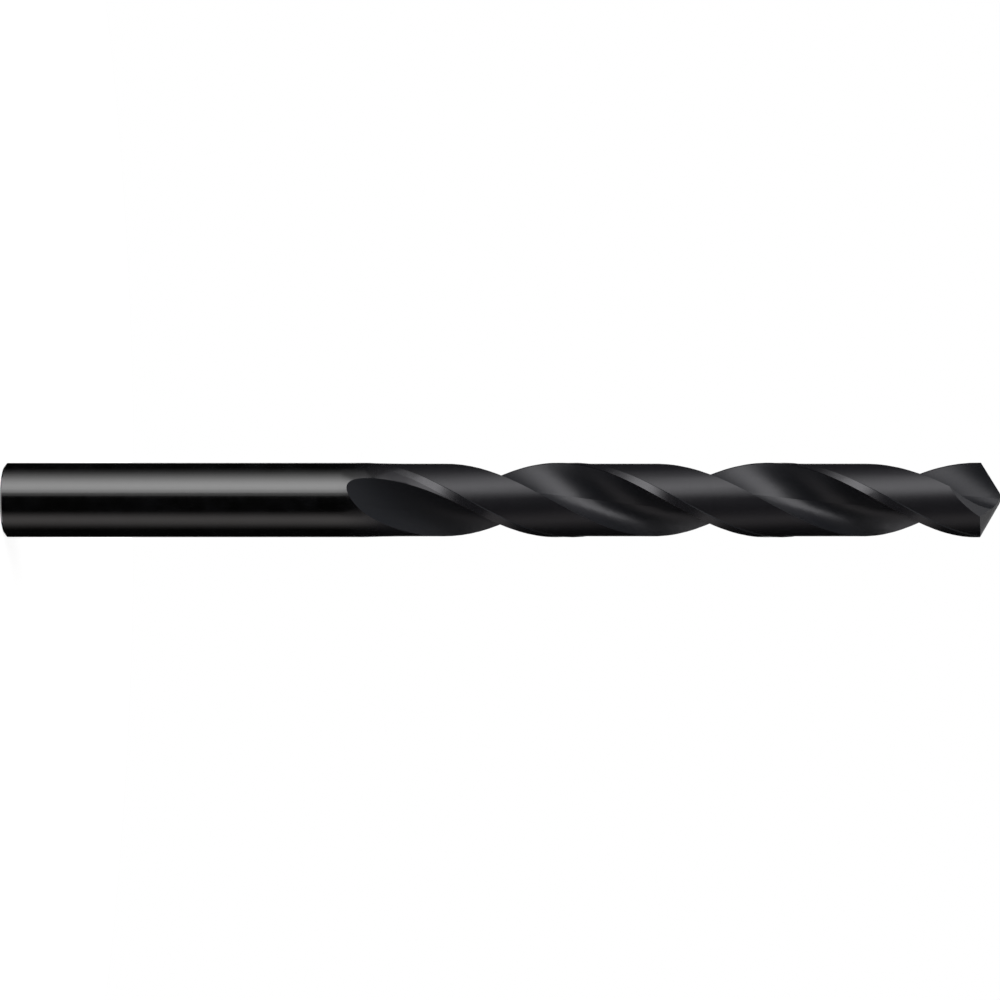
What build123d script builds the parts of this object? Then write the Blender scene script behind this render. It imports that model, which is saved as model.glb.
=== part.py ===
"""Twist drill bit, jobber length, with a parallel shank: one piece of high-speed steel.

The drill stands on its flat shank end, with +Z along its axis from the shank to the point
and the origin at the centre of that end. The cutting lips lie parallel to X. The helix and
the cut are right-hand: a land turns from +X towards +Y as Z rises, with its cutting corner
in front.
"""
from build123d import *
import math
import os

# Bar, in millimetres. The fluted body tapers back from the point to the shank's diameter.
drill_diameter = 10.0
shank_diameter = 9.96
overall_length = 133.0
flute_length = 87.0
taper_setback = 1.0
shank_edge_break = 0.25

# Flutes and lands. Angles are in degrees, counted round the axis.
helix_lead = 56.0
land_span = 84.0
web_at_point = 1.7
web_gain_per_mm = 0.012
heel_face_lean = 28.0
flute_runout = 16.5
runout_heading = 95.0
runout_overlift = 0.2

# Margins, and the body clearance ground behind them.
margin_width = 1.15
body_clearance = 0.14
clearance_setback = 1.3
clearance_runout = 7.0
shoulder_lean = 45.0
heel_overrun = 18.0

# Point: two conical flanks, and a flat that relieves each heel.
point_angle = 118.0
grind_cone_angle = 76.0
grind_reach = 7.0
grind_skew = 0.8
heel_flat_angle = 59.0
heel_flat_behind = 128.0
heel_flat_rise = 0.3
heel_flat_slew = 13.0
heel_flat_offset = 1.7

# How far the cutters overlap the bar, and how their paths are stepped.
overlap = 1.5
seam_turn = 90.0
path_step = 18.0
rake_shares = [0.0, 0.25, 0.5, 0.75, 1.0]
heel_share = 0.75
land_turns = [0, 180]

# Worked out from the dimensions above.
body_radius = drill_diameter / 2
shank_radius = shank_diameter / 2
land_radius = body_radius - body_clearance
flute_span = 180.0 - land_span
flute_end = overall_length - flute_length
flute_full = flute_end + flute_runout
taper_start = flute_end - taper_setback
clearance_full = flute_end + clearance_setback + clearance_runout
half_point = math.radians(point_angle / 2)
half_cone = math.radians(grind_cone_angle / 2)
turn_per_mm = 360.0 / helix_lead


def polar(radius, angle, height=0.0):
    """The point at a radius and an angle about the drill's axis."""
    turn = math.radians(angle)
    return Vector(radius * math.cos(turn), radius * math.sin(turn), height)


def flank_drop(x, y):
    """How far the flank at the +X lip lies under its grinding cone's apex, at (x, y).

    The apex lies across the axis from the lip, on the lip's own slope but skewed ahead of
    it, and that skew gives the flank its relief.
    """
    along = x + grind_reach * math.sin(half_point)
    across = y - web_at_point / 2 - grind_skew
    lean = half_point - half_cone
    spread = math.cos(half_cone) ** 2
    a = spread - math.cos(lean) ** 2
    b = -along * math.sin(lean) * math.cos(lean)
    c = spread * (along ** 2 + across ** 2) - (along * math.sin(lean)) ** 2
    return (-b - math.sqrt(b ** 2 - a * c)) / a


def lip_reach(radius, web):
    """How far along X a lip is at a radius, as the web holds it off the axis."""
    return math.sqrt(radius ** 2 - (web / 2) ** 2)


apex_height = overall_length + flank_drop(0, 0)
corner_reach = lip_reach(body_radius, web_at_point)
corner_height = apex_height - flank_drop(corner_reach, web_at_point / 2)
corner_angle = math.degrees(math.atan2(web_at_point / 2, corner_reach))


def on_helix(outline, height):
    """An outline turned to where the helix has brought the first land's cutting corner."""
    return outline.rotate(Axis.Z, corner_angle + (height - corner_height) * turn_per_mm)


def wheel_lift(travel, arc_length, arc_lift):
    """How far a wheel has lifted: round an arc that rises by arc_lift, then straight on."""
    if travel <= 0:
        return 0.0
    wheel_radius = (arc_length ** 2 + arc_lift ** 2) / (2 * arc_lift)
    if travel <= arc_length:
        return wheel_radius - math.sqrt(wheel_radius ** 2 - travel ** 2)
    return arc_lift + (travel - arc_length) * arc_length / (wheel_radius - arc_lift)


def flute_outline(height):
    """One flute's outline at a height, closed outside the bar.

    The face under the lip is the curve that a straight lip leaves in a cross-section. It
    meets the web square to its radius, where the face towards the next heel takes over.
    """
    web = web_at_point + web_gain_per_mm * (overall_length - max(height, flute_full))
    bar_reach = lip_reach(body_radius, web)
    open_reach = lip_reach(body_radius + overlap, web)
    corner = math.degrees(math.atan2(web / 2, bar_reach))
    turn_per_reach = turn_per_mm / math.tan(half_point)
    rake = []
    for share in rake_shares:
        reach = open_reach * share
        angle = math.degrees(math.atan2(web / 2, reach)) - corner
        angle -= (bar_reach - reach) * turn_per_reach
        rake.append(polar(math.hypot(reach, web / 2), angle, height))
    rake_face = Edge.make_spline(rake, parameters=rake_shares)

    web_angle = 90.0 - corner - bar_reach * turn_per_reach
    heel_line = polar(1.0, flute_span - heel_face_lean)
    heel = polar(land_radius, flute_span, height)
    heel_open = heel + heel_line * overlap
    heel_face = Edge.make_spline(
        [rake[0], heel, heel_open],
        tangents=[polar(1.0, web_angle + 90.0), heel_line],
        parameters=[0.0, heel_share, 1.0],
    )
    crown = polar(body_radius + 2 * overlap, flute_span / 2, height)
    outline = Wire([rake_face, heel_face, ThreePointArc(heel_open, crown, rake[-1])])

    web_lift = body_radius - web / 2 * math.cos(math.radians(runout_heading - web_angle))
    lift = wheel_lift(flute_full - height, flute_runout, web_lift + runout_overlift)
    return on_helix(outline.moved(Location(polar(lift, runout_heading))), height)


def land_sector(height):
    """The part of the bar's outside that one land's clearance takes in, behind its margin."""
    shoulder_rise = body_clearance * math.tan(math.radians(shoulder_lean))
    start = -math.degrees((margin_width + shoulder_rise) / body_radius)
    stop = -land_span - heel_overrun
    middle = (start + stop) / 2
    inner = land_radius - overlap
    outer = body_radius + overlap
    shoulder = polar(1.0, start + shoulder_lean)
    foot = polar(land_radius, start, height)
    below = foot - shoulder * overlap
    above = foot + shoulder * 2 * overlap
    outline = Wire([
        Line(below, above),
        ThreePointArc(above, polar(outer + overlap, middle, height), polar(outer, stop, height)),
        Line(polar(outer, stop, height), polar(inner, stop, height)),
        ThreePointArc(polar(inner, stop, height), polar(inner, middle, height), below),
    ])
    return on_helix(outline, height)


def helical_cutter(outline, start):
    """A cutter that follows the helix from a height to past the point."""
    stop = overall_length + 2 * overlap
    steps = math.ceil((stop - start) * turn_per_mm / path_step)
    heights = [start + (stop - start) * step / steps for step in range(steps + 1)]
    return Solid.make_loft([outline(height) for height in heights])


def bar():
    """The round bar, with its shank end's edge broken, its body tapered and its point square.

    Its seam is turned away from the cutting corners.
    """
    on_end = (Align.CENTER, Align.CENTER, Align.MIN)
    shank = Cylinder(shank_radius, taper_start, align=on_end)
    shank = chamfer(shank.edges().sort_by(Axis.Z)[0], shank_edge_break)
    body = Cone(shank_radius, body_radius, overall_length - taper_start, align=on_end)
    return (shank + Pos(0, 0, taper_start) * body).rotate(Axis.Z, seam_turn)


def clearance_waste():
    """What relieving one land takes off: its sector, down to a round core.

    The core widens past the bar along a wheel's arc, where the clearance runs out.
    """
    wheel_radius = (clearance_runout ** 2 + body_clearance ** 2) / (2 * body_clearance)
    low = clearance_full - clearance_runout - overlap
    wide = land_radius + wheel_radius - math.sqrt(wheel_radius ** 2 - (clearance_full - low) ** 2)
    high = overall_length + 3 * overlap
    foot = Vector(land_radius, 0, clearance_full)
    arc = TangentArc(foot, Vector(wide, 0, low), tangent=Vector(0, 0, -1))
    sides = Polyline(arc @ 1, (0, 0, low), (0, 0, high), (land_radius, 0, high), foot)
    core = revolve(make_face([arc, sides]), Axis.Z)
    return helical_cutter(land_sector, low + overlap / 2) - core


def flank_waste():
    """What grinding the +X lip's flank takes off: the tip outside the grinding cone.

    The tip is taken one diameter deep, and the cone's base lies clear below that.
    """
    floor = (Align.CENTER, Align.CENTER, Align.MIN)
    tip = Cylinder(body_radius + overlap, drill_diameter + 2 * overlap, align=floor)
    apex = (Align.CENTER, Align.CENTER, Align.MAX)
    cone_height = grind_reach + 2 * drill_diameter
    cone = Cone(cone_height * math.tan(half_cone), 0, cone_height, align=apex)
    apex_x = -grind_reach * math.sin(half_point)
    apex_y = web_at_point / 2 + grind_skew
    lean = math.degrees(half_point - half_cone)
    cone = Pos(apex_x, apex_y, apex_height) * Rot(Y=-lean) * cone
    return Pos(0, 0, overall_length - drill_diameter) * tip - cone


def heel_waste():
    """What relieving the +X land's heel takes off, up to the wheel's side by the chisel edge.

    The wheel is taken as a block that clears the bar on every other side.
    """
    size = 2 * drill_diameter
    wheel = Box(size, size, size, align=(Align.CENTER, Align.MIN, Align.MIN))
    heading = corner_angle - heel_flat_behind
    lean = Rot(Z=heading) * Rot(Y=heel_flat_angle) * Rot(Z=-heel_flat_slew)
    return Pos(0, 0, overall_length + heel_flat_rise) * lean * Pos(0, heel_flat_offset, 0) * wheel


def drill_bit():
    """The finished drill: flutes milled, lands relieved, then the point ground."""
    cutters = [
        helical_cutter(flute_outline, flute_end - overlap),
        clearance_waste(),
        flank_waste(),
        heel_waste(),
    ]
    drill = bar()
    for cutter in cutters:
        for turn in land_turns:
            drill = drill - cutter.rotate(Axis.Z, turn)
    return drill


os.makedirs("parts", exist_ok=True)
export_step(drill_bit(), "parts/drill_bit.step")
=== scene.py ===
"""Looks for the twist drill bit: black-oxide steel in a white studio.

The drill stands on its shank end, as it was modelled. The camera lies on its side and looks
square at the drill, so that the point is at the right of the picture.
"""
import math
from collections import namedtuple

import bmesh
import bpy
from mathutils import Matrix, Vector


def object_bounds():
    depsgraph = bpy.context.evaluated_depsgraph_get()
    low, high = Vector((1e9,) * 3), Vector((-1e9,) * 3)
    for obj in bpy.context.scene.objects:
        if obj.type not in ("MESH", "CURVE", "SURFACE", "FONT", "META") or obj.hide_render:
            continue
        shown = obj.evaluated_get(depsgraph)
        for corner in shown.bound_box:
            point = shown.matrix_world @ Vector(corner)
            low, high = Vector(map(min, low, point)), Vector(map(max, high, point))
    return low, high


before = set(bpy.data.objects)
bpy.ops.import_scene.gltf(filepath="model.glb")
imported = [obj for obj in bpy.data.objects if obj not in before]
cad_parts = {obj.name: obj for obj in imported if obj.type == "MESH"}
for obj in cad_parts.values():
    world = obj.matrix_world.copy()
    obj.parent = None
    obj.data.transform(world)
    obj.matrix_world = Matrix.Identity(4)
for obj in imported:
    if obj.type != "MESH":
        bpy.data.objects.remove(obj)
cad_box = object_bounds()

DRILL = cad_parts["drill_bit"]

# The view and the studio, in metres, as everything that is placed.
LENGTH = round(cad_box[1][2], 3)        # the mesh ends a hair short of the point
UP_HEADING = math.radians(185.9)        # the picture's up, counted round the drill's axis
IN_VIEW = 0.13375                       # length of drill that fills the picture's width
TIP_IN_VIEW = 0.5008                    # where the point is, in widths from the middle
CAMERA_AWAY = 0.35
NEAREST_SEEN = 0.01
LIGHTS_AWAY = 0.6
LIGHTS_TALL = 1.6
STRIPS = 12                             # narrow lamps that make up one softbox
FLAGS_AWAY = 0.9
FLAGS_RISE = 1.2                        # the cloth's height above and below the drill's middle
FLAGS_TURN = 165                        # degrees to either side of the camera
FLAGS_FOLDS = 40
FLOOR_RADIUS = 0.12
FLOOR_DROP = 0.00002                    # keeps the floor clear of the shank's end face
FLOOR_GLOW = (0.86, 1.0)                # under the drill, and from where its shadow has gone
GLOW_RADII = (0.02, 0.10)
WORLD_LIGHT = 0.1
WHITE = (1, 1, 1, 1)

# Where the looks of the drill's faces change, each as the start and the end of a ramp. Lengths
# are millimetres from the shank end or off the axis. Leans are cosines.
MM_PER_METRE = 1000.0
HELIX_LEAD = 56.0
BODY_START = (44.0, 53.0)
FLUTE_START = (44.0, 45.0)
FLUTE_RADII = (4.78, 4.72)
FLUTE_LEAN = (0.992, 0.980)             # of a face to the way straight out from the axis
SHOULDER_RADII = (4.84, 4.86)
MARGIN_HEADING = math.radians(65.5)     # the margins' middle, with the helix unwound
MARGIN_EDGES = (0.970, 0.975)           # cosine of twice the turn from that middle
POINT_START = (125.0, 126.0)
POINT_LEAN = (0.62, 0.70)               # of a face to the axis
RUNOUT_COLOUR_END = (52.0, 66.0)
RUNOUT_ROUGH_END = (46.0, 68.0)
RUNOUT_INDEX_END = (50.0, 68.0)
FLUTE_TIP = (120.0, 130.0)

# How each face is finished. The index of refraction sets how strongly its oxide shines.
Finish = namedtuple("Finish", "colour rough index")
SHANK = Finish((0.002, 0.002, 0.002, 1), 0.15, 2.4)
LAND = Finish((0.016, 0.0155, 0.019, 1), 0.34, 1.75)
MARGIN = Finish(LAND.colour, 0.26, 2.0)
RUNOUT = Finish((0.021, 0.0225, 0.027, 1), 0.75, 1.3)
FLUTE = Finish((0.014, 0.015, 0.019, 1), 0.37, 1.8)
POINT = Finish((0.020, 0.020, 0.022, 1), 0.46, 1.42)
SHOULDER_INDEX = 1.3
FLUTE_TIP_LOSS = 0.25                   # off the flute's index by the point
SHANK_SHINE = WHITE
BODY_SHINE = (0.97, 0.96, 1, 1)
CLOUD_COLOUR = (0.020, 0.021, 0.024, 1)
CLOUD_LEVELS = (0.35, 0.75)
CLOUD_SHARE = 0.25
CLOUD_FINENESS = 0.35                   # waves of noise per millimetre, as the next three
RING_FINENESS = (0.1, 0.1, 3.0)         # along X, Y and the axis
STREAK_FINENESS = 3.0                   # across the flute
STREAK_DRAG = 0.06                      # along it
MARK_LEVELS = (0.3, 0.7)
MARK_ROUGH = 0.012
MARK_DEPTH = 0.00001
MARK_STRENGTHS = (0.015, 0.06)          # on turned faces, and in the milled flutes

picture_right = Vector((0, 0, 1))
picture_up = Vector((math.cos(UP_HEADING), math.sin(UP_HEADING), 0))
to_camera = Vector((-picture_up.y, picture_up.x, 0))
middle = Vector((0, 0, LENGTH - TIP_IN_VIEW * IN_VIEW))


class Nodes:
    """A material's or world's node tree, with short ways to add to it."""

    def __init__(self, owner):
        owner.use_nodes = True
        self.tree = owner.node_tree

    def put(self, socket, value):
        if isinstance(value, bpy.types.NodeSocket):
            self.tree.links.new(value, socket)
        else:
            socket.default_value = value

    def add(self, kind, inputs=None, **settings):
        node = self.tree.nodes.new("ShaderNode" + kind)
        for name, value in settings.items():
            setattr(node, name, value)
        for name, value in (inputs or {}).items():
            self.put(node.inputs[name], value)
        return node

    def math(self, operation, *values):
        node = self.add("Math", operation=operation)
        for socket, value in zip(node.inputs, values):
            self.put(socket, value)
        return node.outputs[0]

    def vector(self, operation, *values, output=0):
        node = self.add("VectorMath", operation=operation)
        for socket, value in zip(node.inputs, values):
            self.put(socket, value)
        return node.outputs[output]

    def ramp(self, value, start, stop, low=0.0, high=1.0):
        """A value carried smoothly from start..stop to low..high."""
        node = self.add("MapRange", interpolation_type="SMOOTHSTEP")
        for name, part in zip(("Value", "From Min", "From Max", "To Min", "To Max"),
                              (value, start, stop, low, high)):
            self.put(node.inputs[name], part)
        return node.outputs["Result"]

    def blend(self, share, a, b):
        """Numbers a and b blended by a share from 0 to 1."""
        node = self.add("Mix", data_type="FLOAT")
        for socket, value in zip((node.inputs[0], node.inputs[2], node.inputs[3]), (share, a, b)):
            self.put(socket, value)
        return node.outputs[0]

    def tint(self, share, a, b):
        """Colours a and b blended by a share from 0 to 1."""
        node = self.add("Mix", data_type="RGBA")
        for socket, value in zip((node.inputs[0], node.inputs[6], node.inputs[7]), (share, a, b)):
            self.put(socket, value)
        return node.outputs[2]

    def noise(self, vector, scale, detail=2.0):
        return self.add("TexNoise", {"Vector": vector, "Scale": scale, "Detail": detail}).outputs[0]


def black_oxide():
    """Steam-blackened high-speed steel, told apart by how each face of the drill is ground."""
    material = bpy.data.materials.new("black_oxide_steel")
    n = Nodes(material)
    shader = n.tree.nodes["Principled BSDF"]

    # Where on the drill: millimetres along the axis, off the axis and round it. Then which way
    # the face looks.
    place = n.vector("SCALE", n.add("TexCoord").outputs["Object"])
    place.node.inputs["Scale"].default_value = MM_PER_METRE
    parts = n.add("SeparateXYZ", {"Vector": place})
    along = parts.outputs["Z"]
    radius = n.vector("LENGTH", n.vector("MULTIPLY", place, (1, 1, 0)), output=1)
    turn = n.math("ARCTAN2", parts.outputs["Y"], parts.outputs["X"])
    normal = n.add("TexCoord").outputs["Normal"]
    facing = n.add("SeparateXYZ", {"Vector": normal}).outputs["Z"]
    from_axis = n.vector("NORMALIZE", n.vector("MULTIPLY", place, (1, 1, 0)))
    outward = n.vector("DOT_PRODUCT", normal, from_axis, output=1)
    unwound = n.math("SUBTRACT", turn, n.math("MULTIPLY", along, 2 * math.pi / HELIX_LEAD))

    # Which face it is: each of these is 1 on its face and 0 off it.
    body = n.ramp(along, *BODY_START)
    hollow = n.math("MAXIMUM", n.ramp(outward, *FLUTE_LEAN), n.ramp(radius, *FLUTE_RADII))
    flute = n.math("MULTIPLY", hollow, n.ramp(along, *FLUTE_START))
    shoulder = n.math("MULTIPLY", flute, n.ramp(radius, *SHOULDER_RADII))
    off_margin = n.math("MULTIPLY", n.math("SUBTRACT", unwound, MARGIN_HEADING), 2.0)
    margin = n.math("MULTIPLY", n.ramp(n.math("COSINE", off_margin), *MARGIN_EDGES), body)
    point = n.math("MULTIPLY", n.ramp(facing, *POINT_LEAN), n.ramp(along, *POINT_START))

    # Grinding marks: rings on the shank and lands, streaks along the helix in the flutes.
    rings = n.noise(n.vector("MULTIPLY", place, RING_FINENESS), 1.0)
    out_of_web = n.math("MULTIPLY", radius, STREAK_FINENESS)
    round_flute = n.math("MULTIPLY", n.math("SINE", unwound), out_of_web)
    down_flute = n.math("MULTIPLY", along, STREAK_DRAG)
    streak_place = n.add("CombineXYZ", {"X": round_flute, "Y": out_of_web, "Z": down_flute})
    streaks = n.noise(streak_place.outputs[0], 1.0)
    cloud = n.noise(place, CLOUD_FINENESS, 3.0)
    marks = n.blend(flute, rings, streaks)

    colour = n.tint(body, SHANK.colour, LAND.colour)
    milled = n.tint(n.ramp(along, *RUNOUT_COLOUR_END), RUNOUT.colour, FLUTE.colour)
    colour = n.tint(flute, colour, milled)
    colour = n.tint(n.ramp(cloud, *CLOUD_LEVELS, 0.0, CLOUD_SHARE), colour, CLOUD_COLOUR)
    colour = n.tint(point, colour, POINT.colour)
    n.put(shader.inputs["Base Color"], colour)

    rough = n.blend(body, SHANK.rough, LAND.rough)
    rough = n.blend(margin, rough, MARGIN.rough)
    rough = n.blend(flute, rough, n.ramp(along, *RUNOUT_ROUGH_END, RUNOUT.rough, FLUTE.rough))
    rough = n.blend(point, rough, POINT.rough)
    rough = n.math("ADD", rough, n.ramp(marks, *MARK_LEVELS, -MARK_ROUGH, MARK_ROUGH))
    n.put(shader.inputs["Roughness"], rough)

    index = n.blend(body, SHANK.index, n.blend(margin, LAND.index, MARGIN.index))
    milled = n.ramp(along, *RUNOUT_INDEX_END, RUNOUT.index, FLUTE.index)
    milled = n.math("SUBTRACT", milled, n.ramp(along, *FLUTE_TIP, 0.0, FLUTE_TIP_LOSS))
    index = n.blend(flute, index, milled)
    index = n.blend(shoulder, index, SHOULDER_INDEX)
    index = n.blend(point, index, POINT.index)
    n.put(shader.inputs["IOR"], index)
    n.put(shader.inputs["Specular Tint"], n.tint(body, SHANK_SHINE, BODY_SHINE))

    bump = n.add("Bump", {"Strength": n.blend(flute, *MARK_STRENGTHS),
                          "Distance": MARK_DEPTH,
                          "Height": marks})
    n.put(shader.inputs["Normal"], bump.outputs[0])
    return material


def background_rays(n):
    """1 for the rays that should find a white background, 0 for the rest."""
    path = n.add("LightPath").outputs
    in_metal_or_glass = n.math("MAXIMUM", path["Is Glossy Ray"], path["Is Transmission Ray"])
    return n.math("MAXIMUM", path["Is Camera Ray"], in_metal_or_glass)


def staged(name, build):
    """A mesh object of the studio, not of the part."""
    mesh = bpy.data.meshes.new(name)
    shape = bmesh.new()
    build(shape)
    shape.to_mesh(mesh)
    shape.free()
    thing = bpy.data.objects.new(name, mesh)
    bpy.context.collection.objects.link(thing)
    return thing


def round_the_drill(elevation, away):
    """A place off the drill's axis, at an elevation counted from the camera towards up."""
    turn = math.radians(elevation)
    return middle + away * (math.cos(turn) * to_camera + math.sin(turn) * picture_up)


def softbox(name, start, stop, radiance, skew, colour):
    """A tall softbox bent round the drill, brightest inside and faded to both edges.

    It reaches from one elevation to another, in degrees, and a skew under 1 brings its
    brightest strip nearer to the start.
    """
    span = abs(stop - start) / STRIPS
    for strip in range(STRIPS):
        share = (strip + 0.5) / STRIPS
        lamp = bpy.data.lights.new(name, "AREA")
        lamp.shape = "RECTANGLE"
        lamp.size = 2 * LIGHTS_AWAY * math.tan(math.radians(span / 2))
        lamp.size_y = LIGHTS_TALL
        glow = radiance * math.sin(math.pi * share ** skew) ** 3
        lamp.energy = glow * math.pi * lamp.size * lamp.size_y
        lamp.color = colour
        fixture = bpy.data.objects.new(name, lamp)
        bpy.context.collection.objects.link(fixture)
        spot = round_the_drill(start + share * (stop - start), LIGHTS_AWAY)
        outward = (spot - middle).normalized()
        across = picture_right.cross(outward)
        turned = Matrix((across, picture_right, outward)).transposed().to_4x4()
        fixture.matrix_world = Matrix.Translation(spot) @ turned


def flags(shape):
    """Black cloth round the drill, open behind it, for its dark reflections."""
    rows = []
    ends = (-FLAGS_RISE * picture_right, FLAGS_RISE * picture_right)
    for fold in range(FLAGS_FOLDS + 1):
        spot = round_the_drill(FLAGS_TURN * (2 * fold / FLAGS_FOLDS - 1), FLAGS_AWAY)
        rows.append([shape.verts.new(spot + end) for end in ends])
    for a, b in zip(rows, rows[1:]):
        shape.faces.new((a[0], b[0], b[1], a[1]))


def floor_disc(shape):
    """The round of floor that carries the drill's shadow."""
    bmesh.ops.create_circle(shape, cap_ends=True, segments=128, radius=FLOOR_RADIUS)


DRILL.data.materials.clear()
DRILL.data.materials.append(black_oxide())

softbox("key", start=13, stop=124, radiance=1.65, skew=0.53, colour=(1, 1, 1))
softbox("low", start=-32, stop=-112, radiance=0.27, skew=0.75, colour=(1.0, 0.95, 0.94))

world = bpy.data.worlds.new("studio")
bpy.context.scene.world = world
n = Nodes(world)
backdrop = n.tree.nodes["Background"]
n.put(backdrop.inputs["Strength"], n.blend(background_rays(n), WORLD_LIGHT, 1.0))
backdrop.inputs["Color"].default_value = WHITE

# The upright drill would mirror the floor in its shank's end, and so cut its highlights short.
floor = staged("floor", floor_disc)
floor.location.z = -FLOOR_DROP
floor.visible_glossy = False
paper = bpy.data.materials.new("floor")
n = Nodes(paper)
shader = n.tree.nodes["Principled BSDF"]
shader.inputs["Base Color"].default_value = (0.8, 0.8, 0.8, 1)
shader.inputs["Roughness"].default_value = 0.9
shader.inputs["Emission Color"].default_value = WHITE
off_centre = n.vector("LENGTH", n.add("TexCoord").outputs["Object"], output=1)
glow = n.ramp(off_centre, *GLOW_RADII, *FLOOR_GLOW)
n.put(shader.inputs["Emission Strength"], n.math("MULTIPLY", background_rays(n), glow))
floor.data.materials.append(paper)

cloth = staged("flags", flags)
cloth.visible_camera = False
cloth.visible_diffuse = False
cloth.visible_shadow = False
black = bpy.data.materials.new("flags")
shader = Nodes(black).tree.nodes["Principled BSDF"]
shader.inputs["Base Color"].default_value = (0.01, 0.01, 0.01, 1)
shader.inputs["Roughness"].default_value = 1.0
shader.inputs["Specular IOR Level"].default_value = 0.0
cloth.data.materials.append(black)

camera = bpy.data.cameras.new("camera")
camera.lens = camera.sensor_width * CAMERA_AWAY / IN_VIEW
camera.clip_start = NEAREST_SEEN
eye = bpy.data.objects.new("camera", camera)
bpy.context.collection.objects.link(eye)
sideways = Matrix((picture_right, picture_up, to_camera)).transposed().to_4x4()
eye.matrix_world = Matrix.Translation(middle + CAMERA_AWAY * to_camera) @ sideways
bpy.context.scene.camera = eye
bpy.context.scene.view_settings.view_transform = "Standard"
